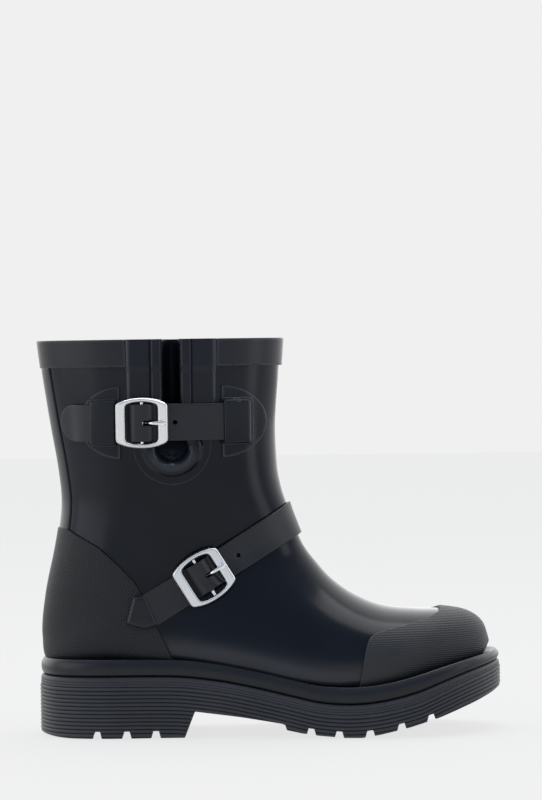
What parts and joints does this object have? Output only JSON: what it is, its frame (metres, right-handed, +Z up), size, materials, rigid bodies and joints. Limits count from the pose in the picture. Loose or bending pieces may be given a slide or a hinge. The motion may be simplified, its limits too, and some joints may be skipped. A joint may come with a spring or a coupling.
{
  "type": "rubber rain boot",
  "caption": "Ankle-high rubber rain boot, right foot, with gusset, buckled calf and instep straps, toe cap, heel counter and cleated outsole.",
  "frame": {"origin": "on the floor under the middle of the boot", "axes": "+X from heel to toe, +Z up, -Y towards the outer (lateral) side of the right foot"},
  "size_m": [0.2812, 0.103, 0.239],
  "materials": {
    "gloss_rubber": "smooth satin-gloss blue-black rubber",
    "matt_rubber": "matt textured blue-black rubber",
    "strap_rubber": "fine-grained satin black rubber strap",
    "sole_rubber": "matt blue-black sole rubber",
    "lining_fabric": "black knitted lining",
    "board": "pressed fibre board",
    "polished_metal": "polished nickel plate",
    "spring_steel": "plain spring steel"
  },
  "bodies": {
    "boot": {"upper_shell": "gloss_rubber", "lining": "lining_fabric", "gusset_panel": "lining_fabric", "gusset_rim": "gloss_rubber", "collar_band": "gloss_rubber", "back_stay": "gloss_rubber", "heel_counter": "matt_rubber", "toe_cap": "matt_rubber", "rand": "gloss_rubber", "outsole": "sole_rubber", "heel_core": "matt_rubber", "shank": "spring_steel", "insole_board": "board", "footbed": "lining_fabric", "front_anchor": "strap_rubber", "rear_anchor": "strap_rubber", "calf_strap": "strap_rubber", "instep_strap": "strap_rubber", "instep_tab_outer": "matt_rubber", "instep_tab_inner": "matt_rubber", "calf_chape": "strap_rubber", "instep_chape": "strap_rubber"},
    "calf_buckle": {"calf_buckle_frame": "polished_metal", "calf_buckle_bar": "polished_metal"},
    "calf_prong": {"calf_buckle_prong": "polished_metal"},
    "instep_buckle": {"instep_buckle_frame": "polished_metal", "instep_buckle_bar": "polished_metal"},
    "instep_prong": {"instep_buckle_prong": "polished_metal"}
  },
  "joints": [
    {"name": "calf_buckle_tilt", "type": "hinge", "parent": "boot", "child": "calf_buckle", "pos_m": [-0.07439, -0.04537, 0.18914], "axis": [0, 0.0422, -0.9991], "range_deg": [-3, 3]},
    {"name": "calf_prong_lift", "type": "hinge", "parent": "calf_buckle", "child": "calf_prong", "pos_m": [-0.07439, -0.04537, 0.18914], "axis": [0, 0.0422, -0.9991], "range_deg": [0, 15]},
    {"name": "instep_buckle_tilt", "type": "hinge", "parent": "boot", "child": "instep_buckle", "pos_m": [-0.03886, -0.03889, 0.09611], "axis": [0.5201, 0.0521, -0.8525], "range_deg": [-3, 3]},
    {"name": "instep_prong_lift", "type": "hinge", "parent": "instep_buckle", "child": "instep_prong", "pos_m": [-0.03886, -0.03889, 0.09611], "axis": [0.5201, 0.0521, -0.8525], "range_deg": [0, 15]}
  ]
}
